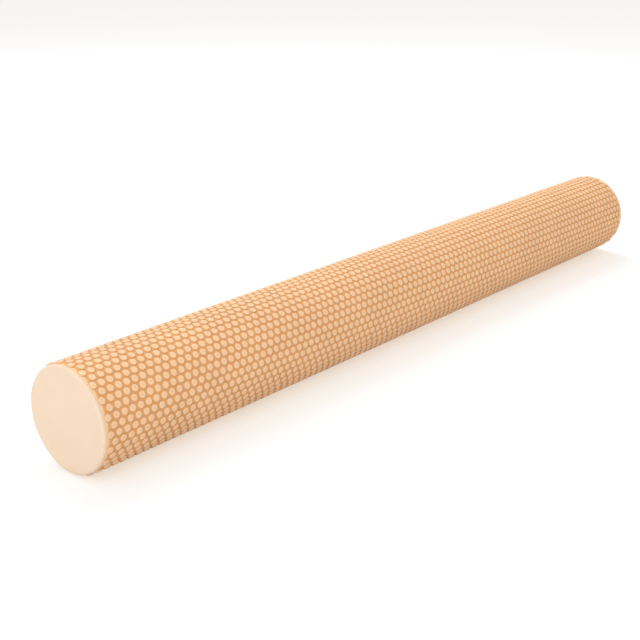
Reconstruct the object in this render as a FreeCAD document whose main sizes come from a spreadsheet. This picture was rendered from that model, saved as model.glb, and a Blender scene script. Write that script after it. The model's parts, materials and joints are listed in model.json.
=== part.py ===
"""Foam massage roller, 900 mm long and 100 mm across, held together by glue alone.

A core of four foam boards, glued flat on each other and turned round, carries a moulded foam sheet that is
wrapped once round it. The sheet's outside is covered with small round nubs, and its two long edges meet in a
butt seam. A thin smooth disc is glued over each end of the core and over the sheet's cut edge.

The roller lies along X with its centre at the origin, +Z is up, and units are millimetres. The seam faces +Y
and a little down. The foam is soft and the nubs are moulded into the sheet, so the field of nubs is drawn here
as the plain tube that their tops touch, with the bare edges of the sheet left at each end.
"""

import FreeCAD
import Part

import os

import Sketcher

# Driving dimensions: alias, value, meaning. Everything else is worked out from these.
SIZES = (
    ("RollerLength", 900, "from end face to end face"),
    ("RollerDiameter", 100, "over the tops of the nubs"),
    ("NubHeight", 1.6, "nub top above the sheet between the nubs"),
    ("NubMargin", 0.5, "bare sheet between its cut edge and the first nubs"),
    ("SkinThickness", 5, "the sheet between the nubs"),
    ("SeamGap", 0.3, "open line where the sheet's long edges meet"),
    ("SeamAngle", 30, "degrees that the seam lies below +Y"),
    ("DiscThickness", 3, "smooth disc on each end"),
    ("DiscRound", 1.5, "rounding of the disc's outer edge"),
    ("GlueLine", 0.2, "glue between any two glued faces"),
    ("BoardCount", 4, "boards in the core"),
    ("TurningAllowance", 3, "board left round the core until it is turned"),
)

# Sizes that follow from the driving dimensions, as expressions that the document works out.
NUB_TOP_RADIUS = "(Sizes.RollerDiameter / 2)"
SKIN_RADIUS = f"({NUB_TOP_RADIUS} - Sizes.NubHeight)"
SKIN_INNER_RADIUS = f"({SKIN_RADIUS} - Sizes.SkinThickness)"
CORE_RADIUS = f"({SKIN_INNER_RADIUS} - Sizes.GlueLine)"
DISC_SEAT = "(Sizes.RollerLength / 2 - Sizes.DiscThickness)"
CORE_LENGTH = f"(2 * ({DISC_SEAT} - Sizes.GlueLine))"
NUB_FIELD_LENGTH = f"({CORE_LENGTH} - 2 * Sizes.NubMargin)"
BOARD_PITCH = f"((2 * {CORE_RADIUS} + Sizes.GlueLine) / Sizes.BoardCount)"
BOARD_WIDTH = f"(2 * ({CORE_RADIUS} + Sizes.TurningAllowance))"
# The rounding stops short of the disc's glued face, however thin the disc.
DISC_ROUND = "min(Sizes.DiscRound; 0.9 * Sizes.DiscThickness)"

ORIGIN_POINT = (-1, 1)
START, END, CENTRE = 1, 2, 3
X_AXIS = FreeCAD.Vector(1, 0, 0)
Y_AXIS = FreeCAD.Vector(0, 1, 0)
Z_AXIS = FreeCAD.Vector(0, 0, 1)


def bind(target, **expressions):
    """Bind properties to expressions. A double underscore in a name stands for a dot."""
    for name, expression in expressions.items():
        target.setExpression(name.replace("__", "."), expression)


def make_sizes(doc):
    """Write the driving dimensions to a spreadsheet: name, value and meaning, one to a row."""
    sheet = doc.addObject("Spreadsheet::Sheet", "Sizes")
    for row, (alias, value, meaning) in enumerate(SIZES, start=1):
        sheet.set(f"A{row}", alias)
        sheet.set(f"B{row}", str(value))
        sheet.set(f"C{row}", meaning)
        sheet.setAlias(f"B{row}", alias)
    doc.recompute()
    return sheet


def new_body(doc, label):
    """An empty body, named after the piece that it will be."""
    body = doc.addObject("PartDesign::Body", label)
    body.Label = label
    return body


def cross_section(body, name):
    """A sketch on the body's own YZ plane, across the roller's axis."""
    sketch = body.newObject("Sketcher::SketchObject", name)
    plane = next(item for item in body.Origin.OriginFeatures if item.Role == "YZ_Plane")
    sketch.AttachmentSupport = [(plane, "")]
    sketch.MapMode = "FlatFace"
    return sketch


def split_ring(body, name, inner, outer):
    """A ring from the inner to the outer radius, open by the seam on its right-hand side."""
    sketch = cross_section(body, name)
    # A first guess at the ring, which the constraints below then bring to size.
    inner_guess, outer_guess, half_gap_guess = 40.0, 50.0, 0.15
    arcs = []
    for radius in (inner_guess, outer_guess):
        circle = Part.Circle(FreeCAD.Vector(), Z_AXIS, radius)
        opening = half_gap_guess / radius
        arcs.append(sketch.addGeometry(Part.ArcOfCircle(circle, opening, -opening)))
    inner_arc, outer_arc = arcs
    edges = []
    for height in (half_gap_guess, -half_gap_guess):
        start = FreeCAD.Vector(inner_guess, height, 0)
        end = FreeCAD.Vector(outer_guess, height, 0)
        edges.append(sketch.addGeometry(Part.LineSegment(start, end)))
    upper_edge, lower_edge = edges

    for arc in arcs:
        sketch.addConstraint(Sketcher.Constraint("Coincident", arc, CENTRE, *ORIGIN_POINT))
    for edge, corner in ((upper_edge, START), (lower_edge, END)):
        sketch.addConstraint(Sketcher.Constraint("Horizontal", edge))
        sketch.addConstraint(Sketcher.Constraint("Coincident", inner_arc, corner, edge, START))
        sketch.addConstraint(Sketcher.Constraint("Coincident", outer_arc, corner, edge, END))
    half_gap = "Sizes.SeamGap / 2"
    upper, lower = (upper_edge, END), (lower_edge, END)
    driven = (
        (Sketcher.Constraint("Radius", inner_arc, inner_guess), inner),
        (Sketcher.Constraint("Radius", outer_arc, outer_guess), outer),
        (Sketcher.Constraint("DistanceY", *ORIGIN_POINT, *upper, half_gap_guess), half_gap),
        (Sketcher.Constraint("DistanceY", *lower, *ORIGIN_POINT, half_gap_guess), half_gap),
    )
    for constraint, expression in driven:
        number = sketch.addConstraint(constraint)
        sketch.setExpression(f"Constraints[{number}]", expression)
    return sketch


def centred_pad(body, name, sketch, length):
    """Pad a cross-section to both sides of the roller's middle."""
    pad = body.newObject("PartDesign::Pad", name)
    pad.Profile = sketch
    pad.SideType = "Symmetric"
    bind(pad, Length=length)
    return pad


def make_skin(doc):
    """The wrapped sheet: a split tube, and round it the shorter split tube that the nub tops touch."""
    body = new_body(doc, "textured_skin")
    sheet = split_ring(body, "SheetSection", SKIN_INNER_RADIUS, SKIN_RADIUS)
    centred_pad(body, "Sheet", sheet, CORE_LENGTH)
    nubs = split_ring(body, "NubFieldSection", SKIN_INNER_RADIUS, NUB_TOP_RADIUS)
    centred_pad(body, "NubField", nubs, NUB_FIELD_LENGTH)
    # The sketches open towards +Y, and the turn takes the seam below it.
    body.Placement = FreeCAD.Placement(FreeCAD.Vector(), FreeCAD.Rotation(-X_AXIS, 30))
    bind(body, Placement__Rotation__Angle="Sizes.SeamAngle * 1 deg")
    return [body]


def make_end_disc(doc, label, turn):
    """A disc whose flat back sits on the core, rounded round its front edge, turned to face its end."""
    body = new_body(doc, label)
    sketch = cross_section(body, "DiscSection")
    circle = sketch.addGeometry(Part.Circle(FreeCAD.Vector(), Z_AXIS, 48.0))
    sketch.addConstraint(Sketcher.Constraint("Coincident", circle, CENTRE, *ORIGIN_POINT))
    radius = sketch.addConstraint(Sketcher.Constraint("Radius", circle, 48.0))
    sketch.setExpression(f"Constraints[{radius}]", SKIN_RADIUS)
    pad = body.newObject("PartDesign::Pad", "Disc")
    pad.Profile = sketch
    bind(pad, Length="Sizes.DiscThickness")
    doc.recompute()
    front = max(
        (f"Edge{number}" for number in range(1, len(pad.Shape.Edges) + 1)),
        key=lambda name: pad.Shape.getElement(name).CenterOfMass.x,
    )
    rounding = body.newObject("PartDesign::Fillet", "EdgeRound")
    rounding.Base = (pad, [front])
    bind(rounding, Radius=DISC_ROUND)
    side = -1 if turn else 1
    body.Placement = FreeCAD.Placement(FreeCAD.Vector(), FreeCAD.Rotation(Z_AXIS, turn))
    bind(body, Placement__Base__x=f"{side} * {DISC_SEAT}")
    return body


def make_end_discs(doc):
    """The same disc at both ends, the left one turned half round to face -X."""
    return [make_end_disc(doc, "end_disc_left", 180), make_end_disc(doc, "end_disc_right", 0)]


def make_core_boards(doc, board_count):
    """Boards stacked from the bottom up, each cut to its share of the turned core."""
    core = doc.addObject("Part::Cylinder", "TurnedCore")
    core.Placement = FreeCAD.Placement(FreeCAD.Vector(), FreeCAD.Rotation(Y_AXIS, 90))
    bind(core, Radius=CORE_RADIUS, Height=CORE_LENGTH, Placement__Base__x=f"-{CORE_LENGTH} / 2")
    boards = []
    for number in range(board_count):
        bottom = f"{number} * {BOARD_PITCH} - {CORE_RADIUS}"
        height = f"{BOARD_PITCH} - Sizes.GlueLine"
        if number == 0:
            bottom += " - Sizes.TurningAllowance"
        if number in (0, board_count - 1):
            height += " + Sizes.TurningAllowance"
        blank = doc.addObject("Part::Box", f"BoardBlank{number + 1}")
        bind(
            blank,
            Length=CORE_LENGTH,
            Width=BOARD_WIDTH,
            Height=height,
            Placement__Base__x=f"-{CORE_LENGTH} / 2",
            Placement__Base__y=f"-{BOARD_WIDTH} / 2",
            Placement__Base__z=bottom,
        )
        board = doc.addObject("Part::Common", f"core_board_{number + 1}")
        board.Label = f"core_board_{number + 1}"
        board.Base = core
        board.Tool = blank
        boards.append(board)
    return boards


def check(doc, pieces):
    """Stop at any object that failed to compute, or any piece that isn't one sound solid."""
    for item in doc.Objects:
        if "Invalid" in item.State or "Error" in item.State:
            raise RuntimeError(f"{item.Label} did not compute: {item.State}")
    for piece in pieces:
        shape = piece.Shape
        if shape.isNull() or not shape.isValid() or len(shape.Solids) != 1:
            raise RuntimeError(f"{piece.Label} is not one valid solid")


def main():
    doc = FreeCAD.newDocument("FoamRoller")
    sheet = make_sizes(doc)
    pieces = make_skin(doc) + make_end_discs(doc) + make_core_boards(doc, int(sheet.BoardCount))
    doc.recompute()
    check(doc, pieces)
    os.makedirs("parts", exist_ok=True)
    for piece in pieces:
        piece.Shape.exportStep(f"parts/{piece.Label}.step")
        box = piece.Shape.BoundBox
        print(
            f"{piece.Label}: {box.XLength:.2f} x {box.YLength:.2f} x {box.ZLength:.2f} mm, "
            f"{piece.Shape.Volume / 1000:.1f} cm3, centre z {box.Center.z:.2f}"
        )


main()
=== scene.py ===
"""The looks of a foam massage roller: its nubbed skin, smooth end discs, foam finishes and a plain studio.

The roller lies along X with its centre at the origin and +Z up, in metres. The skin is shaped as a flat
sheet, the way it is moulded, and then rolled up round the core with its two long edges meeting in a seam.
"""

import json
import math

import bmesh
import bpy
import numpy as np
from mathutils import Matrix, Vector


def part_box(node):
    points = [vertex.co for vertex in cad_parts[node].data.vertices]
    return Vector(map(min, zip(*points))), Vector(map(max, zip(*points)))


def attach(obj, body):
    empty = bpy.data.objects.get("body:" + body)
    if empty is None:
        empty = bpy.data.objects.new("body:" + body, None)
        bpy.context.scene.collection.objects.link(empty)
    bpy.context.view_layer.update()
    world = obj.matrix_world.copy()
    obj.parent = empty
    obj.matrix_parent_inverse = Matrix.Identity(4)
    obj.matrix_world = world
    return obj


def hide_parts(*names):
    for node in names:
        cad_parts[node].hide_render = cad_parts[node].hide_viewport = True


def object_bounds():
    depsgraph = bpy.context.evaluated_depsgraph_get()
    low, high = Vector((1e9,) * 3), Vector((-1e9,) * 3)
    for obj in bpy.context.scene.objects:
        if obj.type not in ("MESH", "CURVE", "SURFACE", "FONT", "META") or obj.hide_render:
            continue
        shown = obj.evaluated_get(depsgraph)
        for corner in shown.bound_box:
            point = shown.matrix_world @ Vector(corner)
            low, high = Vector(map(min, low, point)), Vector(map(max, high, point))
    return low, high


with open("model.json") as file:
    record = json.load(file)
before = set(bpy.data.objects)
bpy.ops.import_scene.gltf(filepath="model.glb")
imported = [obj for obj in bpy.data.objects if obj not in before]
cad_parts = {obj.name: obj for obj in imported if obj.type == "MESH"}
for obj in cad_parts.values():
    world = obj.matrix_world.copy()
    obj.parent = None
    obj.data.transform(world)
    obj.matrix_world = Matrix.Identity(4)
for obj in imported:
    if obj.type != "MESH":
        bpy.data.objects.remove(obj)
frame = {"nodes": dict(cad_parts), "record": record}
CAD_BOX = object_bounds()

bl_info = {
    "name": "Foam Massage Roller",
    "version": (1, 0, 0),
    "blender": (4, 5, 0),
    "location": "View3D > Sidebar > Foam Roller",
    "description": "Shapes the nubbed skin and end discs of a foam roller, and gives its foam a finish",
    "category": "Object",
}

BODY = "root"
SKIN_NODE = "textured_skin"
DISC_NODES = ("end_disc_left", "end_disc_right")
BOARD_NODES = tuple(sorted(name for name in frame["nodes"] if name.startswith("core_board")))

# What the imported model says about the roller's own sizes.
OUTER_RADIUS = next(
    mount["dims"]["r_mm"] / 1000 for mount in frame["record"]["mounts"] if mount["name"] == "outer_surface"
)
SKIN_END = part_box(SKIN_NODE)[1].x
CORE_RADIUS = -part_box(BOARD_NODES[0])[0].z
GLUE_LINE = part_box(BOARD_NODES[1])[0].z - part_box(BOARD_NODES[0])[1].z
SEAM_DIRECTION = math.radians(-30)
# The sheet is as pale as a nub's top this far in from its cut ends.
END_STRIP = 0.002

# Each nub's six-sided patch of sheet has a point at each corner and halfway along each side.
PATCH_SIDES = 6
NUB_SIDES = 2 * PATCH_SIDES
# Strips across the sheet's back for each row of nubs, so that the back can bend.
STRIPS_PER_ROW = 2
# Where the disc's face has its rings of points, as shares of its radius from the middle out.
FACE_RINGS = (0.25, 0.5, 0.7, 0.85, 0.93)

# Points nearer than this are one point, and a cut this near a point goes through it.
WELD = 1e-5
CUT_SNAP = 1e-7

# The skin's texture layout from the bottom up: the nubbed side, the back, and a strip for each cut edge.
NUBBED_SHARE = 0.93
BACK_START = 0.94
BACK_SHARE = 0.02
EDGE_STARTS = (0.965, 0.974, 0.983, 0.992)
EDGE_SHARE = 0.007

KEY_PLACE = (0.8, 1.2, 2.0)
FILL_PLACE = (-1.9, -0.9, 1.2)
LAMP_SIZE = 1.6
FLOOR_SIZE = 20
# The white that the floor reflects onto the roller, and how far past white its lit part goes to the camera.
FLOOR_WHITE = 0.85
FLOOR_GAIN = 1.1


def length_property(name, description, default):
    """A length in metres, shown finely enough for foam details."""
    return bpy.props.FloatProperty(
        name=name, description=description, default=default, unit="LENGTH", precision=5
    )


def colour_property(name, description, default):
    """A colour, as linear values."""
    return bpy.props.FloatVectorProperty(
        name=name, description=description, default=default, size=3, min=0, max=1, subtype="COLOR"
    )


class FoamRollerSkin(bpy.types.PropertyGroup):
    """Sizes of the moulded sheet."""

    nub_rows: bpy.props.IntProperty(
        name="Nub Rows", description="Rows of nubs round the roller, an even number", default=42, min=12
    )
    nubs_per_row: bpy.props.IntProperty(
        name="Nubs per Row", description="Nubs along the roller in each row", default=102, min=4
    )
    nub_diameter: length_property("Nub Diameter", "Across a nub at its foot", 0.0072)
    nub_height: length_property("Nub Height", "Nub top above the sheet", 0.0016)
    shoulder: length_property("Nub Shoulder", "Rounding round a nub's top", 0.0009)
    draft: length_property("Nub Draft", "How far a nub's side leans in", 0.0003)
    dish_diameter: length_property("Dish Diameter", "Across the dimple in a nub", 0.0014)
    dish_depth: length_property("Dish Depth", "Depth of the dimple in a nub", 0.0006)
    end_margin: length_property("End Margin", "Bare sheet past the last nub", 0.0005)
    seam_gap: length_property("Seam Gap", "Open line along the seam", 0.0003)
    unevenness: length_property("Unevenness", "How far nub tops differ in height", 0.0001)


class FoamRollerDisc(bpy.types.PropertyGroup):
    """Sizes of the end discs."""

    edge_round: length_property("Edge Round", "Rounding of the outer edge", 0.0028)
    sag: length_property("Sag", "How far the face dips unevenly", 0.00025)
    facets: bpy.props.IntProperty(name="Facets", description="Steps round the disc", default=128, min=24)


class FoamRollerColours(bpy.types.PropertyGroup):
    """Colours of the foams and of the painted groove shade, as linear values."""

    nub_top: colour_property("Nub Tops", "Foam on the raised nubs", (0.95, 0.64, 0.39))
    # Painted shade: this deeper colour stands in for the shade that falls in the grooves between the nubs,
    # on their sides and in their dimples.
    groove_shade: colour_property("Painted Groove Shade", "Foam between the nubs", (0.78, 0.40, 0.155))
    disc: colour_property("End Discs", "Smooth foam of the end discs", (0.90, 0.70, 0.52))
    core: colour_property("Core Boards", "Foam boards inside", (0.86, 0.84, 0.78))


class FoamRollerStage(bpy.types.PropertyGroup):
    """Camera and studio."""

    lens: bpy.props.FloatProperty(
        name="Lens", description="Focal length on a 36 mm wide sensor", default=65.9, unit="CAMERA"
    )
    camera_place: bpy.props.FloatVectorProperty(
        name="Camera",
        description="Camera's place",
        default=(-0.9874, -0.7341, 0.4111),
        subtype="XYZ",
        unit="LENGTH",
    )
    camera_heading: bpy.props.FloatProperty(
        name="Heading", description="From +X towards +Y", default=math.radians(40.37), subtype="ANGLE"
    )
    camera_pitch: bpy.props.FloatProperty(
        name="Pitch", description="Below the horizon", default=math.radians(19.98), subtype="ANGLE"
    )
    key_power: bpy.props.FloatProperty(
        name="Key Light", description="Soft lamp above and behind", default=26, unit="POWER"
    )
    fill_power: bpy.props.FloatProperty(
        name="Fill Light", description="Soft lamp beside the camera", default=16, unit="POWER"
    )
    sky: bpy.props.FloatProperty(name="Sky", description="Even white light from all round", default=0.7)
    shadow: colour_property("Shadow", "Floor colour where no light falls", (0.70, 0.58, 0.48))


# ---------------------------------------------------------------- materials


def feed(tree, target, inputs):
    """Set a node's inputs. Each is a plain value, or a socket to be linked."""
    for key, value in inputs.items():
        if isinstance(value, bpy.types.NodeSocket):
            tree.links.new(value, target.inputs[key])
        else:
            target.inputs[key].default_value = value


def node(tree, kind, inputs=None, **settings):
    """Add a node with its settings and inputs."""
    made = tree.nodes.new(kind)
    for name, value in settings.items():
        setattr(made, name, value)
    feed(tree, made, inputs or {})
    return made


def shared_group(name, inputs, outputs):
    """An empty node group. Inputs are (name, socket type, default), and outputs are (name, socket type)."""
    group = bpy.data.node_groups.new(name, "ShaderNodeTree")
    for label, kind, default in inputs:
        socket = group.interface.new_socket(label, in_out="INPUT", socket_type=kind)
        if default is not None:
            socket.default_value = default
    for label, kind in outputs:
        group.interface.new_socket(label, in_out="OUTPUT", socket_type=kind)
    entry = group.nodes.new("NodeGroupInput")
    return group, entry.outputs


def scaled(tree, vector, size):
    """The vector in units of a size, which is itself a socket."""
    frequency = node(tree, "ShaderNodeMath", {0: 1.0, 1: size}, operation="DIVIDE").outputs[0]
    return node(tree, "ShaderNodeVectorMath", {0: vector, "Scale": frequency}, operation="SCALE").outputs[0]


def foam_cells_group():
    """Closed foam cells: how high the surface stands over each one, and a fleck wider than a cell."""
    group, given = shared_group(
        "foam_cells",
        (("Vector", "NodeSocketVector", None), ("Cell Size", "NodeSocketFloat", 0.0006)),
        (("Height", "NodeSocketFloat"), ("Fleck", "NodeSocketFloat")),
    )
    place = scaled(group, given["Vector"], given["Cell Size"])
    wander = node(group, "ShaderNodeTexNoise", {"Vector": place, "Scale": 0.7, "Detail": 1.0})
    bent = node(
        group,
        "ShaderNodeVectorMath",
        {0: wander.outputs["Color"], 1: (0.8, 0.8, 0.8), 2: place},
        operation="MULTIPLY_ADD",
    )
    cells = node(
        group, "ShaderNodeTexVoronoi", {"Vector": bent.outputs[0], "Scale": 1.0}, feature="SMOOTH_F1"
    )
    domed = node(
        group,
        "ShaderNodeMapRange",
        {
            "Value": cells.outputs["Distance"],
            "From Min": 0.1,
            "From Max": 0.7,
            "To Min": 1.0,
            "To Max": 0.0,
        },
        interpolation_type="SMOOTHSTEP",
    )
    fleck = node(
        group, "ShaderNodeTexNoise", {"Vector": place, "Scale": 0.25, "Detail": 3.0, "Roughness": 0.6}
    )
    node(group, "NodeGroupOutput", {"Height": domed.outputs["Result"], "Fleck": fleck.outputs["Fac"]})
    return group


def dye_drift_group():
    """Slow drift of the foam's dye, from 0 to 1."""
    group, given = shared_group(
        "dye_drift",
        (("Vector", "NodeSocketVector", None), ("Patch Size", "NodeSocketFloat", 0.05)),
        (("Drift", "NodeSocketFloat"),),
    )
    place = scaled(group, given["Vector"], given["Patch Size"])
    cloud = node(
        group, "ShaderNodeTexNoise", {"Vector": place, "Scale": 1.0, "Detail": 4.0, "Roughness": 0.55}
    )
    spread = node(
        group,
        "ShaderNodeMapRange",
        {"Value": cloud.outputs["Fac"], "From Min": 0.3, "From Max": 0.7},
        interpolation_type="SMOOTHSTEP",
    )
    node(group, "NodeGroupOutput", {"Drift": spread.outputs["Result"]})
    return group


def shade_group():
    """A colour taken lighter or darker by a mask round one half."""
    group, given = shared_group(
        "shade_shift",
        (
            ("Color", "NodeSocketColor", None),
            ("Mask", "NodeSocketFloat", 0.5),
            ("Swing", "NodeSocketFloat", 0.05),
        ),
        (("Color", "NodeSocketColor"),),
    )
    centred = node(group, "ShaderNodeMath", {0: given["Mask"], 1: 0.5}, operation="SUBTRACT").outputs[0]
    factor = node(
        group, "ShaderNodeMath", {0: centred, 1: given["Swing"], 2: 1.0}, operation="MULTIPLY_ADD"
    ).outputs[0]
    result = node(group, "ShaderNodeVectorMath", {0: given["Color"], "Scale": factor}, operation="SCALE")
    node(group, "NodeGroupOutput", {"Color": result.outputs[0]})
    return group


GROUP_MAKERS = {"foam_cells": foam_cells_group, "dye_drift": dye_drift_group, "shade_shift": shade_group}


def place_group(tree, name, inputs):
    """Place a shared group in a material. It is built the first time that it is asked for."""
    placed = tree.nodes.new("ShaderNodeGroup")
    placed.node_tree = bpy.data.node_groups.get(name) or GROUP_MAKERS[name]()
    feed(tree, placed, inputs)
    return placed


def new_material(name):
    """An empty material and its node tree."""
    material = bpy.data.materials.new(name)
    material.use_nodes = True
    material.node_tree.nodes.clear()
    return material, material.node_tree


def rgba(colour):
    """A colour with a solid alpha, as nodes take it."""
    return (*colour, 1.0)


def shade(tree, colour, swings):
    """Take a colour lighter and darker by each mask in turn, as far as that mask's swing."""
    for mask, swing in swings:
        shift = place_group(tree, "shade_shift", {"Color": colour, "Mask": mask, "Swing": swing})
        colour = shift.outputs["Color"]
    return colour


def mix_colour(tree, factor, first, second):
    """A blend from the first colour to the second."""
    # The node has unseen sockets for other kinds of data, so the colour ones go by number.
    mix = node(tree, "ShaderNodeMix", {0: factor, 6: first, 7: second}, data_type="RGBA")
    return mix.outputs[2]


def foam_surface(tree, colour, cells, roughness, bump, sheen):
    """The foam shader: a matte surface with a fine pebble of cells and a faint bloom."""
    rough = node(
        tree,
        "ShaderNodeMapRange",
        {"Value": cells.outputs["Fleck"], "To Min": roughness - 0.08, "To Max": roughness + 0.08},
    )
    pebble = node(
        tree, "ShaderNodeBump", {"Height": cells.outputs["Height"], "Distance": bump, "Strength": 1.0}
    )
    shader = node(
        tree,
        "ShaderNodeBsdfPrincipled",
        {
            "Base Color": colour,
            "Roughness": rough.outputs["Result"],
            "Normal": pebble.outputs["Normal"],
            "Specular IOR Level": 0.3,
            "Sheen Weight": sheen,
            "Sheen Roughness": 0.5,
        },
    )
    node(tree, "ShaderNodeOutputMaterial", {"Surface": shader.outputs["BSDF"]})


def skin_material(colours):
    """Moulded foam with painted shade: a deeper colour painted where shade falls, in the grooves, on the nub
    sides and in the dimples, paler on the nub tops, and no two nubs quite alike.
    """
    material, tree = new_material("skin_foam")
    place = node(tree, "ShaderNodeTexCoord").outputs["Object"]
    relief_shade_mask = node(tree, "ShaderNodeAttribute", attribute_name="relief_shade_mask").outputs["Fac"]
    tone = node(tree, "ShaderNodeAttribute", attribute_name="tone").outputs["Fac"]
    cells = place_group(tree, "foam_cells", {"Vector": place, "Cell Size": 0.00045})
    drift = place_group(tree, "dye_drift", {"Vector": place, "Patch Size": 0.06})
    # Painted shade: the mask takes the colour from the nub tops towards the painted groove shade where the
    # foam lies low.
    raised = node(
        tree,
        "ShaderNodeMapRange",
        {"Value": relief_shade_mask, "From Min": 0.1, "From Max": 0.95},
        interpolation_type="SMOOTHSTEP",
    )
    colour = mix_colour(tree, raised.outputs["Result"], rgba(colours.groove_shade), rgba(colours.nub_top))
    swings = ((tone, 0.04), (drift.outputs["Drift"], 0.05), (cells.outputs["Fleck"], 0.08))
    colour = shade(tree, colour, swings)
    foam_surface(tree, colour, cells, roughness=0.6, bump=0.00006, sheen=0.08)
    return material


def cut_foam_material(name, colour, cell_size, bump, swing):
    """Smooth cut foam: small cells and a slow drift of colour."""
    material, tree = new_material(name)
    place = node(tree, "ShaderNodeTexCoord").outputs["Object"]
    cells = place_group(tree, "foam_cells", {"Vector": place, "Cell Size": cell_size})
    drift = place_group(tree, "dye_drift", {"Vector": place, "Patch Size": 0.03})
    swings = ((drift.outputs["Drift"], swing), (cells.outputs["Fleck"], 2 * swing))
    colour = shade(tree, rgba(colour), swings)
    foam_surface(tree, colour, cells, roughness=0.66, bump=bump, sheen=0.1)
    return material


# ---------------------------------------------------------------- shapes


def new_piece(name, bm, material):
    """Turn a bmesh into a smooth-shaded object at the origin."""
    mesh = bpy.data.meshes.new(name)
    bm.to_mesh(mesh)
    bm.free()
    mesh.materials.append(material)
    mesh.shade_smooth()
    piece = bpy.data.objects.new(name, mesh)
    bpy.context.scene.collection.objects.link(piece)
    return piece


def declare(piece, replaced):
    """Attach the piece to the body that it rides on, and hide the part that it stands for."""
    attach(piece, BODY)
    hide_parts(replaced)


def everything(bm):
    """All the points, edges and faces, as cutting and copying take them."""
    return bm.verts[:] + bm.edges[:] + bm.faces[:]


def verts_of(items):
    """Only the points among some points, edges and faces."""
    return [item for item in items if isinstance(item, bmesh.types.BMVert)]


def repeat(bm, count, step):
    """Copy all there is so far, so that it stands count times, each one step from the last."""
    source = everything(bm)
    for number in range(1, count):
        copy = bmesh.ops.duplicate(bm, geom=source)["geom"]
        bmesh.ops.translate(bm, verts=verts_of(copy), vec=step * number)
    bmesh.ops.remove_doubles(bm, verts=bm.verts[:], dist=WELD)


def sheet_patch(bm, centre, pitch, row_pitch):
    """A flat six-sided patch of sheet, with a point at each corner and halfway along each side."""
    verts = bmesh.ops.create_circle(bm, cap_ends=True, segments=NUB_SIDES, radius=pitch / 2)["verts"]
    face = verts[0].link_faces[0]
    if face.normal.z < 0:
        bmesh.ops.reverse_faces(bm, faces=[face])
    corner_turn = math.tau / PATCH_SIDES

    def is_corner(vert):
        """The middle of a side lies on a multiple of the corner turn, and a corner halfway between two."""
        return abs(math.remainder(math.atan2(vert.co.y, vert.co.x), corner_turn)) > corner_turn / 4

    corners = [vert for vert in verts if is_corner(vert)]
    bmesh.ops.scale(bm, verts=corners, vec=Vector((1, 1, 1)) / math.cos(corner_turn / 2))
    even_row_pitch = pitch * math.sin(corner_turn)
    bmesh.ops.scale(bm, verts=verts, vec=(1, row_pitch / even_row_pitch, 1))
    bmesh.ops.translate(bm, verts=verts, vec=centre)
    face.normal_update()
    return face


def raise_nub(bm, face, centre, relief_shade_mask, skin):
    """Raise a round nub with a soft shoulder and a dimple from the middle of a patch."""
    radius = skin.nub_diameter / 2
    bmesh.ops.inset_individual(bm, faces=[face], thickness=skin.shoulder / 2)
    for vert in face.verts:
        vert.co = centre + (vert.co - centre).normalized() * radius
    flat_rim = radius - skin.draft - skin.shoulder - skin.dish_diameter / 2
    # Each ring is how far it lies in from the last, how high it stands above it, and how much of the nub-top
    # colour it keeps against the painted groove shade.
    rings = (
        (skin.draft, skin.nub_height - skin.shoulder, 0.2),
        (skin.shoulder * 0.3, skin.shoulder * 0.7, 0.8),
        (skin.shoulder * 0.7, skin.shoulder * 0.3, 1.0),
        (flat_rim, -skin.dish_depth, 0.65),
    )
    across_flats = math.cos(math.pi / NUB_SIDES)
    for inwards, rise, unshaded_share in rings:
        bmesh.ops.inset_individual(
            bm, faces=[face], thickness=inwards * across_flats, depth=rise, use_even_offset=True
        )
        for vert in face.verts:
            vert[relief_shade_mask] = unshaded_share


def flat_sheet(skin, pitch, row_pitch, first_nub):
    """The moulded sheet, flat, nubs up, with its first long edge on the X axis."""
    bm = bmesh.new()
    # A mask of painted shade: 1 keeps the nub-top colour, and lower values paint the shade of grooves, nub
    # sides and dimples.
    relief_shade_mask = bm.verts.layers.float.new("relief_shade_mask")
    even_row = Vector((first_nub, -row_pitch / 2, 0))
    odd_row = even_row + Vector((pitch / 2, row_pitch, 0))
    for centre in (even_row, odd_row):
        raise_nub(bm, sheet_patch(bm, centre, pitch, row_pitch), centre, relief_shade_mask, skin)
    along = Vector((pitch, 0, 0))
    repeat(bm, skin.nubs_per_row, along)
    # Every other row starts half a nub later, so each row has bare sheet at one end.
    sheet_patch(bm, even_row + along * skin.nubs_per_row, pitch, row_pitch)
    sheet_patch(bm, odd_row - along, pitch, row_pitch)
    # There are two rows more than needed, because the long edges are cut straight through a groove.
    repeat(bm, skin.nub_rows // 2 + 1, Vector((0, 2 * row_pitch, 0)))
    return bm


def trim(bm, low, high):
    """Cut the sheet square, from its low corner to its high one."""
    for corner, side in ((low, -1), (high, 1)):
        for axis in (Vector((side, 0, 0)), Vector((0, side, 0))):
            bmesh.ops.bisect_plane(
                bm, geom=everything(bm), dist=CUT_SNAP, plane_co=corner, plane_no=axis, clear_outer=True
            )


def thicken(bm, thickness, low, high, strips):
    """Give the sheet its cut edges and a flat back, with the back in strips so that it can be rolled."""
    rim = [edge for edge in bm.edges if edge.is_boundary]
    made = bmesh.ops.extrude_edge_only(bm, edges=rim)["geom"]
    for vert in verts_of(made):
        vert.co.z = -thickness
    back_rim = [item for item in made if isinstance(item, bmesh.types.BMEdge) and item.is_boundary]
    back = bmesh.ops.contextual_create(bm, geom=back_rim)["faces"]
    geom = list(back)
    for face in back:
        geom += [*face.edges, *face.verts]
    for number in range(1, strips):
        place = low.lerp(high, number / strips)
        cut = bmesh.ops.bisect_plane(bm, geom=geom, dist=CUT_SNAP, plane_co=place, plane_no=(0, 1, 0))
        geom = cut["geom"]
    bmesh.ops.recalc_face_normals(bm, faces=bm.faces[:])


def read_points(mesh):
    """The mesh's points as an array, one to a row."""
    points = np.empty(len(mesh.vertices) * 3, dtype=np.float64)
    mesh.vertices.foreach_get("co", points)
    return points.reshape(-1, 3)


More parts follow.
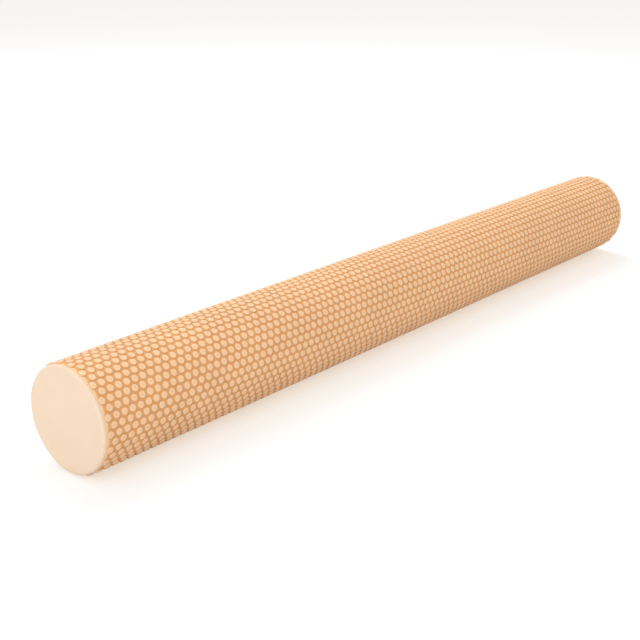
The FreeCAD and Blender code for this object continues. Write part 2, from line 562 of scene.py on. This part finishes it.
def lay_out(mesh, length, width, thickness):
    """Give the flat sheet a texture layout: the nubbed side as it lies, and the rest in strips above it."""
    corner_vert = np.empty(len(mesh.loops), dtype=np.int32)
    mesh.loops.foreach_get("vertex_index", corner_vert)
    counts = np.empty(len(mesh.polygons), dtype=np.int32)
    mesh.polygons.foreach_get("loop_total", counts)
    normals = np.empty(len(mesh.polygons) * 3, dtype=np.float32)
    mesh.polygons.foreach_get("normal", normals)
    normals = np.repeat(normals.reshape(-1, 3), counts, axis=0)
    corners = read_points(mesh)[corner_vert]
    starts = np.cumsum(counts) - counts
    highest = np.repeat(np.maximum.reduceat(corners[:, 2], starts), counts)
    lowest = np.repeat(np.minimum.reduceat(corners[:, 2], starts), counts)
    x, y, z = corners.T
    along, around, down = x / length + 0.5, y / width, -z / thickness
    u = along.copy()
    v = around * NUBBED_SHARE
    is_back = highest < -thickness / 2
    is_edge = (lowest < -thickness / 2) & ~is_back
    v[is_back] = BACK_START + BACK_SHARE * around[is_back]
    edges = ((0, -1, around), (0, 1, around), (1, -1, along), (1, 1, along))
    for start, (axis, side, run) in zip(EDGE_STARTS, edges):
        chosen = is_edge & (normals[:, axis] * side > 0.5)
        u[chosen] = run[chosen]
        v[chosen] = start + EDGE_SHARE * np.clip(down[chosen], 0, 1)
    layer = mesh.uv_layers.new(name="OFBake")
    layer.data.foreach_set("uv", np.column_stack((u, v)).astype(np.float32).ravel())


def give_tones(mesh, skin, pitch, row_pitch, first_nub):
    """Give each nub of the flat sheet a tone of its own, from 0 to 1, and return every point's tone."""
    x, y, _ = read_points(mesh).T
    # The sheet's own rows, with one more to each side for its edges.
    row = np.clip(np.floor(y / row_pitch).astype(int), -1, skin.nub_rows) + 1
    shift = np.where(row % 2 == 1, pitch / 2, 0)
    column = np.clip(np.rint((x - first_nub - shift) / pitch).astype(int), -1, skin.nubs_per_row + 1) + 1
    tones = np.random.default_rng(7).random((skin.nub_rows + 2, skin.nubs_per_row + 3))
    tone = tones[row, column]
    layer = mesh.attributes.new("tone", "FLOAT", "POINT")
    layer.data.foreach_set("value", tone.astype(np.float32))
    return tone


def pale_ends(mesh):
    """Keep the painted groove shade off the bare sheet beside its cut ends, so that it has the colour of a
    nub's top.
    """
    points = read_points(mesh)
    relief_shade_mask = np.empty(len(points), dtype=np.float32)
    mesh.attributes["relief_shade_mask"].data.foreach_get("value", relief_shade_mask)
    relief_shade_mask[(np.abs(points[:, 0]) > SKIN_END - END_STRIP) & (points[:, 2] < WELD)] = 1
    mesh.attributes["relief_shade_mask"].data.foreach_set("value", relief_shade_mask)


def roll_up(mesh, radius, skin, tone):
    """Roll the flat sheet round the X axis. A nub's tone also says how far it falls short of full height."""
    x, y, z = read_points(mesh).T
    raised = np.clip(z / skin.nub_height, 0, 1)
    reach = radius + (z - raised * skin.unevenness * tone)
    turn = SEAM_DIRECTION - y / radius
    rolled = np.column_stack((x, reach * np.cos(turn), reach * np.sin(turn)))
    mesh.vertices.foreach_set("co", rolled.ravel())
    mesh.update()


class OBJECT_OT_roller_skin(bpy.types.Operator):
    """Shape the nubbed sheet flat, roll it up round the core and give it its foam"""

    bl_idname = "object.roller_skin"
    bl_label = "Nubbed Skin"

    def execute(self, context):
        skin = context.scene.roller_skin
        sheet_radius = OUTER_RADIUS - skin.nub_height
        width = 2 * math.pi * sheet_radius
        row_pitch = width / skin.nub_rows
        first_nub = skin.end_margin + skin.nub_diameter / 2 - SKIN_END
        # The rows are staggered by half a pitch, so they span half a pitch more than one row does.
        pitch = -2 * first_nub / (skin.nubs_per_row - 0.5)
        low = Vector((-SKIN_END, skin.seam_gap / 2, 0))
        high = Vector((SKIN_END, width - skin.seam_gap / 2, 0))
        thickness = sheet_radius - CORE_RADIUS - GLUE_LINE
        bm = flat_sheet(skin, pitch, row_pitch, first_nub)
        trim(bm, low, high)
        thicken(bm, thickness, low, high, strips=STRIPS_PER_ROW * skin.nub_rows)
        piece = new_piece("nubbed_skin", bm, skin_material(context.scene.roller_colours))
        lay_out(piece.data, 2 * SKIN_END, width, thickness)
        tone = give_tones(piece.data, skin, pitch, row_pitch, first_nub)
        pale_ends(piece.data)
        roll_up(piece.data, sheet_radius, skin, tone)
        declare(piece, SKIN_NODE)
        return {"FINISHED"}


def disc_blank(disc, radius, thickness):
    """A disc about the X axis with its back at X = 0, its front edge rounded and its face uneven."""
    bm = bmesh.new()
    profile = [(0, 0), (0, radius), (thickness, radius)]
    profile += [(thickness, radius * share) for share in reversed(FACE_RINGS)]
    profile.append((thickness, 0))
    verts = [bm.verts.new((x, 0, z)) for x, z in profile]
    edges = [bm.edges.new(pair) for pair in zip(verts, verts[1:])]
    bmesh.ops.spin(
        bm,
        geom=verts + edges,
        cent=(0, 0, 0),
        axis=(1, 0, 0),
        angle=math.tau,
        steps=disc.facets,
        use_merge=True,
    )
    bmesh.ops.remove_doubles(bm, verts=bm.verts[:], dist=WELD)
    bmesh.ops.recalc_face_normals(bm, faces=bm.faces[:])

    def on_front_rim(vert):
        return vert.co.x > thickness / 2 and vert.co.yz.length > radius - WELD

    rim = [edge for edge in bm.edges if all(on_front_rim(vert) for vert in edge.verts)]
    bmesh.ops.bevel(
        bm, geom=rim, offset=disc.edge_round, affect="EDGES", segments=6, profile=0.5, material=-1
    )
    # Slow waves across the face, in radians to the metre each way, that only ever dip below it.
    across, upward, offset = 95, 80, 1
    for vert in bm.verts:
        if vert.co.x > thickness / 2:
            ripple = math.sin(vert.co.y * across + offset) * math.cos(vert.co.z * upward)
            vert.co.x -= disc.sag * (0.5 + 0.5 * ripple)
    return bm


class OBJECT_OT_roller_discs(bpy.types.Operator):
    """Shape the smooth disc on each end, with a soft edge and a bare face"""

    bl_idname = "object.roller_discs"
    bl_label = "End Discs"

    def execute(self, context):
        disc = context.scene.roller_disc
        colours = context.scene.roller_colours
        material = cut_foam_material("disc_foam", colours.disc, cell_size=0.0003, bump=0.00002, swing=0.03)
        half_turn = Matrix.Rotation(math.pi, 3, "Z")
        for disc_node in DISC_NODES:
            low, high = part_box(disc_node)
            bm = disc_blank(disc, high.z, high.x - low.x)
            back = low.x
            if high.x < 0:
                bmesh.ops.rotate(bm, verts=bm.verts[:], cent=(0, 0, 0), matrix=half_turn)
                back = high.x
            bmesh.ops.translate(bm, verts=bm.verts[:], vec=(back, 0, 0))
            piece = new_piece(disc_node.replace("end_disc", "smooth_disc"), bm, material)
            declare(piece, disc_node)
        return {"FINISHED"}


class OBJECT_OT_roller_core(bpy.types.Operator):
    """Give the core boards their foam"""

    bl_idname = "object.roller_core"
    bl_label = "Core Boards"

    def execute(self, context):
        colours = context.scene.roller_colours
        material = cut_foam_material("core_foam", colours.core, cell_size=0.0012, bump=0.0001, swing=0.05)
        for board in BOARD_NODES:
            for slot in bpy.data.objects[board].material_slots:
                slot.material = material
        return {"FINISHED"}


# ---------------------------------------------------------------- stage


def add_floor(stage):
    """A white floor whose open part stays white to the camera, and whose shadow stays soft and warm."""
    material, tree = new_material("studio_floor")
    path = node(tree, "ShaderNodeLightPath")
    plain = node(tree, "ShaderNodeBsdfDiffuse", {"Color": rgba([FLOOR_WHITE] * 3)})
    # The glow is all that shows in full shadow, and the lit part takes the open floor the rest of the way.
    rest = [min(FLOOR_GAIN * (1 - part), 1) for part in stage.shadow]
    lit = node(tree, "ShaderNodeBsdfDiffuse", {"Color": rgba(rest)})
    glow = node(tree, "ShaderNodeEmission", {"Color": rgba(stage.shadow), "Strength": 1.0})
    seen = node(tree, "ShaderNodeAddShader", {0: glow.outputs[0], 1: lit.outputs[0]})
    shader = node(
        tree,
        "ShaderNodeMixShader",
        {0: path.outputs["Is Camera Ray"], 1: plain.outputs[0], 2: seen.outputs[0]},
    )
    node(tree, "ShaderNodeOutputMaterial", {"Surface": shader.outputs[0]})
    bm = bmesh.new()
    bmesh.ops.create_grid(bm, x_segments=1, y_segments=1, size=FLOOR_SIZE)
    bmesh.ops.translate(bm, verts=bm.verts[:], vec=(0, 0, CAD_BOX[0].z))
    floor = new_piece("studio_floor", bm, material)


def add_world(stage):
    """White all round to the camera and to gloss, and an even light of its own strength on everything."""
    world = bpy.data.worlds.new("studio_world")
    world.use_nodes = True
    tree = world.node_tree
    tree.nodes.clear()
    path = node(tree, "ShaderNodeLightPath")
    seen = path.outputs["Is Camera Ray"]
    for ray in ("Is Glossy Ray", "Is Transmission Ray"):
        either = node(tree, "ShaderNodeMath", {0: seen, 1: path.outputs[ray]}, operation="MAXIMUM")
        seen = either.outputs[0]
    strength = node(tree, "ShaderNodeMapRange", {"Value": seen, "To Min": stage.sky, "To Max": 1.0})
    light = node(tree, "ShaderNodeBackground", {"Color": (1, 1, 1, 1), "Strength": strength.outputs[0]})
    node(tree, "ShaderNodeOutputWorld", {"Surface": light.outputs[0]})
    bpy.context.scene.world = world


def add_lamp(name, place, power):
    """A soft square lamp that faces the roller's middle."""
    data = bpy.data.lights.new(name, "AREA")
    data.energy = power
    data.size = LAMP_SIZE
    lamp = bpy.data.objects.new(name, data)
    lamp.location = place
    lamp.rotation_euler = (-Vector(place)).to_track_quat("-Z", "Y").to_euler()
    bpy.context.scene.collection.objects.link(lamp)


def add_camera(stage):
    """The camera that the roller is looked at from."""
    data = bpy.data.cameras.new("studio_camera")
    data.lens = stage.lens
    data.sensor_width = 36
    camera = bpy.data.objects.new("studio_camera", data)
    camera.location = stage.camera_place
    level = math.pi / 2
    camera.rotation_euler = (level - stage.camera_pitch, 0, stage.camera_heading - level)
    bpy.context.scene.collection.objects.link(camera)
    bpy.context.scene.camera = camera


class SCENE_OT_roller_stage(bpy.types.Operator):
    """Set up the camera, the white floor, the world and the lamps"""

    bl_idname = "scene.roller_stage"
    bl_label = "Stage"

    def execute(self, context):
        stage = context.scene.roller_stage
        context.scene.view_settings.view_transform = "Standard"
        add_camera(stage)
        add_world(stage)
        add_lamp("key_lamp", KEY_PLACE, stage.key_power)
        add_lamp("fill_lamp", FILL_PLACE, stage.fill_power)
        add_floor(stage)
        return {"FINISHED"}


class VIEW3D_PT_foam_roller(bpy.types.Panel):
    """Sizes, colours and steps of the foam roller"""

    bl_idname = "VIEW3D_PT_foam_roller"
    bl_label = "Foam Roller"
    bl_space_type = "VIEW_3D"
    bl_region_type = "UI"
    bl_category = "Foam Roller"

    def draw(self, context):
        column = self.layout.column()
        for name, group in SETTINGS.items():
            settings = getattr(context.scene, name)
            for key in group.__annotations__:
                column.prop(settings, key)
        for operator in OPERATORS:
            column.operator(operator.bl_idname)


SETTINGS = {
    "roller_skin": FoamRollerSkin,
    "roller_disc": FoamRollerDisc,
    "roller_colours": FoamRollerColours,
    "roller_stage": FoamRollerStage,
}
OPERATORS = (
    SCENE_OT_roller_stage,
    OBJECT_OT_roller_skin,
    OBJECT_OT_roller_discs,
    OBJECT_OT_roller_core,
)
CLASSES = (*SETTINGS.values(), *OPERATORS, VIEW3D_PT_foam_roller)


def register():
    for item in CLASSES:
        bpy.utils.register_class(item)
    for name, group in SETTINGS.items():
        setattr(bpy.types.Scene, name, bpy.props.PointerProperty(type=group))


def unregister():
    for name in SETTINGS:
        delattr(bpy.types.Scene, name)
    for item in reversed(CLASSES):
        bpy.utils.unregister_class(item)


def main():
    register()
    bpy.ops.scene.roller_stage()
    bpy.ops.object.roller_skin()
    bpy.ops.object.roller_discs()
    bpy.ops.object.roller_core()


if __name__ == "__main__":
    main()
